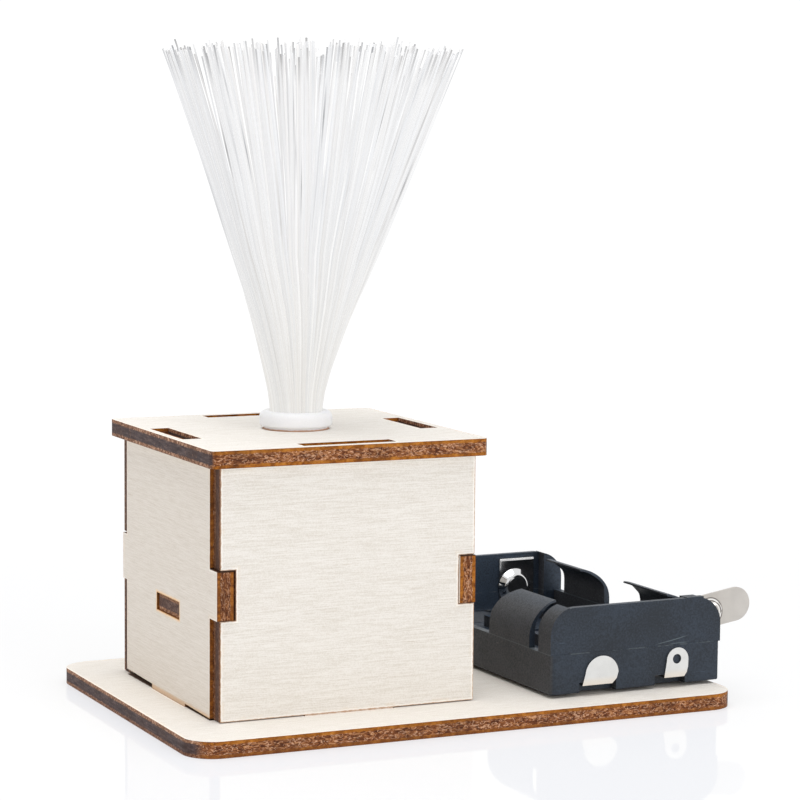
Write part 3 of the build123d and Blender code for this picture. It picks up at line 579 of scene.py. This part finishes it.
# colours of the painted highlight rings and the painted shade rings
bright, dark = (0.95, 0.94, 0.92), (0.12, 0.105, 0.10)
for rr, wide, tone in ((1.85, 0.16, bright), (2.14, 0.15, dark), (2.40, 0.17, bright), (2.68, 0.13, dark)):
    band = lever.span(lever.absol(lever.sub(ring_r, rr)), 0.5 * wide, wide, 1.0, 0.0)
    steel = lever.mix(lever.mul(band, 0.8), steel, tone)
lever.set(Base_Color=steel)
dress("switch_blade", lever.mat)
wire_mat = rolled_metal("spring_wire", (0.74, 0.74, 0.73), 0.22, (1.0, 1.0, 1.0)).mat
lead_mat = rolled_metal("tinned_lead", (0.66, 0.66, 0.65), 0.34, (1.0, 1.0, 0.2)).mat
dress("led_anode_lead", lead_mat)
dress("led_cathode_lead", lead_mat)

chip = Net("led_die")
chip_pads = chip.cells(chip.stretch(6, 6, 6))
chip.set(
    Base_Color=chip.mix(chip.span(chip_pads, 0.2, 0.5), (0.78, 0.62, 0.18), (0.30, 0.28, 0.30)),
    Roughness=0.3,
)
dress("led_chip", chip.mat)

lens = Net("led_epoxy")
swirl = lens.noise(lens.stretch(0.5, 0.5, 0.5), detail=2)
lens.set(
    Base_Color=lens.mix(lens.span(swirl, 0.3, 0.7), (0.95, 0.97, 0.98), (0.90, 0.93, 0.95)),
    Roughness=lens.span(swirl, 0.3, 0.7, 0.02, 0.07),
    Normal=lens.bump(swirl, 0.08, 0.02),
)
lens.b.inputs["Transmission Weight"].default_value = 1.0
lens.b.inputs["IOR"].default_value = 1.52
dress("led_lens", lens.mat)

foam = Net("foam_tape")
bubbles = foam.cells(foam.stretch(3.0, 3.0, 3.0), feature="F1")
foam.set(
    Base_Color=foam.mix(foam.span(bubbles, 0.2, 0.6), (0.62, 0.61, 0.57), (0.80, 0.79, 0.75)),
    Roughness=0.9,
    Normal=foam.bump(bubbles, 0.5, 0.08),
)
dress("foam_tape", foam.mat)


# ------------------------------------------------------------------ tubes
def tubes(name, paths, radii, sides, tones=None, mat=None):
    """One mesh of closed round tubes. paths are (n, 3) arrays in metres; radii one number
    or array each; tones (n, 3) colours at the path's points."""
    verts, faces, cols = [], [], []
    base = 0
    ring = np.linspace(0, 2 * math.pi, sides, endpoint=False)
    for k, path in enumerate(paths):
        m = len(path)
        tan = np.gradient(path, axis=0)
        tan /= np.linalg.norm(tan, axis=1)[:, None]
        u = np.zeros((m, 3))
        ref = np.array([1.0, 0.0, 0.0]) if abs(tan[0][0]) < 0.9 else np.array([0.0, 1.0, 0.0])
        u[0] = ref - tan[0] * (ref @ tan[0])
        u[0] /= np.linalg.norm(u[0])
        for i in range(1, m):
            v = u[i - 1] - tan[i] * (u[i - 1] @ tan[i])
            u[i] = v / np.linalg.norm(v)
        w = np.cross(tan, u)
        r = np.broadcast_to(radii[k] if hasattr(radii, "__len__") else radii, (m,))
        co = (
            path[:, None, :]
            + (u[:, None, :] * np.cos(ring)[None, :, None] + w[:, None, :] * np.sin(ring)[None, :, None])
            * r[:, None, None]
        ).reshape(-1, 3)
        verts.append(co)
        for i in range(m - 1):
            a = base + i * sides
            for j in range(sides):
                j2 = (j + 1) % sides
                faces.append((a + j, a + j2, a + sides + j2, a + sides + j))
        faces.append(tuple(base + j for j in reversed(range(sides))))
        faces.append(tuple(base + (m - 1) * sides + j for j in range(sides)))
        if tones is not None:
            cols.append(np.repeat(tones[k], sides, axis=0))
        base += m * sides
    me = bpy.data.meshes.new(name)
    me.from_pydata(np.vstack(verts).tolist(), [], faces)
    me.validate()
    me.shade_smooth()
    if tones is not None:
        attr = me.color_attributes.new("tone", "FLOAT_COLOR", "POINT")
        c = np.vstack(cols)
        attr.data.foreach_set("color", np.hstack([c, np.ones((len(c), 1))]).astype(np.float32).ravel())
    ob = bpy.data.objects.new(name, me)
    scene.collection.objects.link(ob)
    if mat:
        me.materials.append(mat)
    return ob


# ------------------------------------------------------------------ optical fibres
AXIS = np.array([-18.33, 0.84])
LEAN = np.array([0.906, -0.423])
LID_TOP = 49.7
SPRAY = np.array(
    [
        (-15.0, 0.0, 4.70),
        (0.0, 0.0, 4.70),
        (3.3, 0.0, 4.70),
        (7.0, 0.1, 5.20),
        (12.1, 0.3, 6.60),
        (19.8, 0.8, 8.95),
        (29.1, 1.5, 12.4),
        (45.0, 2.15, 18.4),
        (69.4, 2.7, 27.8),
    ]
)


def smooth_table(h):
    """The spray's sideways lean and its radius at height h, with no corners."""
    fine = np.linspace(-15, 72, 700)
    lean = np.interp(fine, SPRAY[:, 0], SPRAY[:, 1])
    rad = np.interp(fine, SPRAY[:, 0], SPRAY[:, 2])
    rad[fine > 69.4] = 28.0 + (fine[fine > 69.4] - 69.4) * 0.393
    k = np.hanning(33)
    k /= k.sum()
    pad = lambda a: np.convolve(np.pad(a, 16, mode="reflect", reflect_type="odd"), k, mode="valid")
    return np.interp(h, fine, pad(lean)), np.interp(h, fine, pad(rad))


rng = np.random.default_rng(41)
STRAND_R = 0.158
pitch_mm = 0.392
roots = []
rows = int(4.6 / (pitch_mm * 0.866)) + 1
for i in range(-rows, rows + 1):
    for j in range(-15, 16):
        q = np.array([(j + 0.5 * (i % 2)) * pitch_mm, i * pitch_mm * 0.866])
        if np.hypot(*q) < 4.53:
            roots.append(q)
roots = np.array(roots)
roots += rng.normal(0, 0.025, roots.shape)
count = len(roots)

# strands cling together in small bunches towards the top
seeds = []
for q in roots[rng.permutation(count)]:
    if all(np.hypot(*(q - s)) > 0.92 for s in seeds):
        seeds.append(q)
seeds = np.array(seeds)
seed_pull = rng.uniform(0.45, 0.92, len(seeds))
seed_tone = rng.normal(0, 0.022, len(seeds))
paths, tones, tips = [], [], []
for q in roots:
    gap = np.hypot(*(seeds - q).T)
    k = int(np.argmin(gap))
    pull = seed_pull[k] * rng.uniform(0.75, 1.1)
    share = np.hypot(*q) / 4.7
    pull *= 1.0 - 0.5 * share**4
    tip = 68.3 - 1.7 * share**2 + rng.normal(0, 0.55)
    if rng.random() < 0.06:
        tip -= rng.uniform(1.0, 5.0)
    tip = min(tip, 69.3)
    stray = rng.normal(0, 0.030, 2) if rng.random() < 0.93 else rng.normal(0, 0.09, 2)
    bow_dir = rng.uniform(0, 2 * math.pi)
    bow = rng.normal(0, 0.32)
    h = np.concatenate(
        [np.linspace(-14.8, 2.0, 4), np.linspace(4.0, 22.0, 8), np.linspace(26.0, tip, 8)]
    )
    rise = np.clip((h - 3.0) / 66.0, 0, 1)
    w = (rise**0.8)[:, None]
    here = q + (seeds[k] - q) * pull * w + stray * w
    # the spray opens like a brush pushed from its middle, and turns a little as it opens
    out = np.clip(np.hypot(*here.T) / 4.7, 0, 1)
    here = here * (1.0 + np.clip((h - 3) / 25, 0, 1) * (np.sqrt(2.0 - out**2) - 1.0))[:, None]
    here = here * np.minimum(1.0, 4.60 / np.maximum(np.hypot(*here.T), 1e-6))[:, None]
    twist = -0.45 * np.clip((h + 2) / 32, 0, 1) ** 0.8
    here = np.stack(
        [
            here[:, 0] * np.cos(twist) - here[:, 1] * np.sin(twist),
            here[:, 0] * np.sin(twist) + here[:, 1] * np.cos(twist),
        ],
        axis=1,
    )
    lean, rad = smooth_table(h)
    xy = AXIS + LEAN * lean[:, None] + here * (rad / 4.70)[:, None]
    xy = xy + np.array([math.cos(bow_dir), math.sin(bow_dir)]) * (bow * np.sin(math.pi * rise))[:, None]
    paths.append(np.hstack([xy, (LID_TOP + h)[:, None]]) * MM)
    # colour: a clear grey, a little warm or cool, with a few dark streaks and tips
    level = 0.855 + seed_tone[k] + rng.normal(0, 0.032)
    warm = rng.normal(0.0, 0.005)
    # painted light and shade: the strands are lighter towards the top, where the spray opens, and higher up a little
    # darker on the side away from the lean
    tone = level + 0.07 * np.clip((h - 8) / 45, 0, 1)
    aside = q @ np.array([0.9064, -0.4224]) / 4.7
    tone = tone - 0.08 * np.clip(-aside, 0, 1) * np.clip((h - 10) / 30, 0, 1)
    if rng.random() < 0.16:
        c, wid = rng.uniform(34, 67), rng.uniform(0.8, 4.0)
        tone -= rng.uniform(0.15, 0.50) * np.exp(-(((h - c) / wid) ** 2))
    if rng.random() < 0.40:
        tone -= rng.uniform(0.12, 0.50) * np.exp(-(((h - tip) / rng.uniform(0.8, 4.0)) ** 2))
    tone = np.clip(tone, 0.30, 1.0)
    low = 1.0 - np.clip((h - 4) / 36, 0, 1)
    tones.append(
        np.stack([tone + warm, tone - 0.014 * low, tone - warm * 1.2 - 0.048 * low + 0.008], axis=1).clip(0, 1)
    )
    tips.append(paths[-1][-1])

fib = Net("optical_fibre")
attr = fib.t.nodes.new("ShaderNodeAttribute")
attr.attribute_name = "tone"
along_f = fib.noise(fib.stretch(1.2, 1.2, 0.08), detail=2)
shade = fib.mix(fib.span(along_f, 0.3, 0.7, 0.0, 0.5), attr.outputs["Color"], (0.97, 0.97, 0.97), "MULTIPLY")
fib.set(
    Base_Color=fib.mix(1.0, shade, (0.24, 0.24, 0.24), "MULTIPLY"),
    Roughness=fib.span(along_f, 0.3, 0.7, 0.16, 0.26),
)
fib.b.inputs["IOR"].default_value = 1.49
# painted light: a faint glow on the strands, standing in for the light that bounces inside and between the clear
# strands
fib.put(fib.b.inputs["Emission Color"], shade)
fib.b.inputs["Emission Strength"].default_value = 0.69
strands = tubes("fibre_strands", paths, STRAND_R * MM, 7, tones, fib.mat)
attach(strands, "fibre_head")
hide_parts("fibre_bundle")

# ------------------------------------------------------------------ cell springs
TURN = math.radians(1.3)
CELL_Z = 12.1


def tray_point(x, y, z):
    dx, dy = x - 36.3, y + 27.48
    return np.array(
        [
            36.3 + dx * math.cos(TURN) - dy * math.sin(TURN),
            -27.48 + dx * math.sin(TURN) + dy * math.cos(TURN),
            z,
        ]
    )


def spring(name, x, y, way, body):
    """A conical spring with a closed coil at each end, standing off its plate."""
    turns_total, wire = 5.4, 0.34
    t = np.linspace(0, turns_total, 230)
    lift = np.where(
        t < 1.0,
        t * 0.72,
        np.where(t > turns_total - 0.9, 6.0 - (turns_total - t) * 0.72, 0.0),
    )
    mid = (t >= 1.0) & (t <= turns_total - 0.9)
    lift[mid] = 0.72 + (t[mid] - 1.0) * (6.0 - 0.72 - 0.648) / (turns_total - 1.9)
    r = 3.9 - 1.28 * lift / 6.0
    a = 2 * math.pi * t + (0.6 if way > 0 else 2.2)
    pts = [
        tray_point(x + rr * math.cos(aa), y + way * (0.39 + ll), CELL_Z + rr * math.sin(aa))
        for rr, aa, ll in zip(r, a, lift)
    ]
    ob = tubes(name, [np.array(pts) * MM], wire * MM, 10, None, wire_mat)
    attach(ob, body)
    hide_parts(body)
    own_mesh(ob)
    return ob


spring("near_spring_coil", 44.13, -25.76, 1, "near_spring")
spring("far_spring_coil", 28.47, 32.90, -1, "far_spring")

# ------------------------------------------------------------------ floor and light
floor_me = bpy.data.meshes.new("floor")
floor_me.from_pydata(
    [(-6, -6, -0.00006), (6, -6, -0.00006), (6, 6, -0.00006), (-6, 6, -0.00006)], [], [(0, 1, 2, 3)]
)
floor = bpy.data.objects.new("floor", floor_me)
scene.collection.objects.link(floor)
fm = bpy.data.materials.new("floor_white")
fm.use_nodes = True
ft = fm.node_tree
ft.nodes.clear()
f_out = ft.nodes.new("ShaderNodeOutputMaterial")
f_dif = ft.nodes.new("ShaderNodeBsdfDiffuse")
f_dif.inputs["Color"].default_value = (0.80, 0.81, 0.835, 1)
f_lit = ft.nodes.new("ShaderNodeEmission")
f_lit.inputs["Color"].default_value = (0.955, 0.965, 1.0, 1)
f_lit.inputs["Strength"].default_value = 1.078
f_body = ft.nodes.new("ShaderNodeMixShader")
f_body.inputs[0].default_value = 0.5
ft.links.new(f_dif.outputs[0], f_body.inputs[1])
ft.links.new(f_lit.outputs[0], f_body.inputs[2])
f_glo = ft.nodes.new("ShaderNodeBsdfGlossy")
f_glo.inputs["Color"].default_value = (1.0, 0.93, 0.70, 1)
f_glo.inputs["Roughness"].default_value = 0.035
f_mix = ft.nodes.new("ShaderNodeMixShader")
f_mix.inputs[0].default_value = 0.105
ft.links.new(f_body.outputs[0], f_mix.inputs[1])
ft.links.new(f_glo.outputs[0], f_mix.inputs[2])
# away from the lamp the floor runs out into the bright backdrop
f_tc = ft.nodes.new("ShaderNodeTexCoord")
f_len = ft.nodes.new("ShaderNodeVectorMath")
f_len.operation = "LENGTH"
ft.links.new(f_tc.outputs["Object"], f_len.inputs[0])
f_far = ft.nodes.new("ShaderNodeMapRange")
f_far.interpolation_type = "SMOOTHSTEP"
f_far.inputs["From Min"].default_value = 0.13
f_far.inputs["From Max"].default_value = 0.34
ft.links.new(f_len.outputs["Value"], f_far.inputs["Value"])
f_emi = ft.nodes.new("ShaderNodeEmission")
f_emi.inputs["Strength"].default_value = 1.05
f_out_mix = ft.nodes.new("ShaderNodeMixShader")
ft.links.new(f_far.outputs[0], f_out_mix.inputs[0])
ft.links.new(f_mix.outputs[0], f_out_mix.inputs[1])
ft.links.new(f_emi.outputs[0], f_out_mix.inputs[2])
ft.links.new(f_out_mix.outputs[0], f_out.inputs[0])
floor_me.materials.append(fm)

world = bpy.data.worlds.new("studio")
scene.world = world
world.use_nodes = True
wt = world.node_tree
wt.nodes.clear()
w_out = wt.nodes.new("ShaderNodeOutputWorld")
w_bg = wt.nodes.new("ShaderNodeBackground")
w_lp = wt.nodes.new("ShaderNodeLightPath")
w_max = wt.nodes.new("ShaderNodeMath")
w_max.operation = "MAXIMUM"
w_map = wt.nodes.new("ShaderNodeMapRange")
w_bg.inputs["Color"].default_value = (1.0, 1.0, 1.0, 1)
wt.links.new(w_lp.outputs["Is Camera Ray"], w_max.inputs[0])
wt.links.new(w_lp.outputs["Is Glossy Ray"], w_max.inputs[1])
wt.links.new(w_max.outputs[0], w_map.inputs["Value"])
w_map.inputs["To Min"].default_value = 0.55
w_map.inputs["To Max"].default_value = 1.06
wt.links.new(w_map.outputs[0], w_bg.inputs["Strength"])
wt.links.new(w_bg.outputs[0], w_out.inputs[0])


def softbox(name, at, to, size, power, colour=(1, 1, 1)):
    data = bpy.data.lights.new(name, "AREA")
    data.shape, data.size, data.size_y = "RECTANGLE", size[0], size[1]
    data.energy, data.color = power, colour
    ob = bpy.data.objects.new(name, data)
    scene.collection.objects.link(ob)
    ob.location = at
    ob.rotation_euler = (Vector(to) - Vector(at)).to_track_quat("-Z", "Y").to_euler()
    return ob


front = softbox("front", (0.5, -1.3, 0.36), (0, 0, 0.03), (0.9, 0.6), 5.3, (1.0, 0.997, 0.99))
front.visible_glossy = False
side = softbox("left", (-1.25, -0.3, 0.35), (0, 0, 0.03), (0.8, 0.6), 1.25, (1.0, 0.95, 0.90))
side.visible_glossy = False
softbox("above_front", (-0.15, -0.4, 1.2), (0, 0, 0.0), (1.0, 0.8), 4.8)
softbox("above", (-0.1, 0.15, 1.3), (0, 0, 0.0), (1.0, 1.0), 7.5)
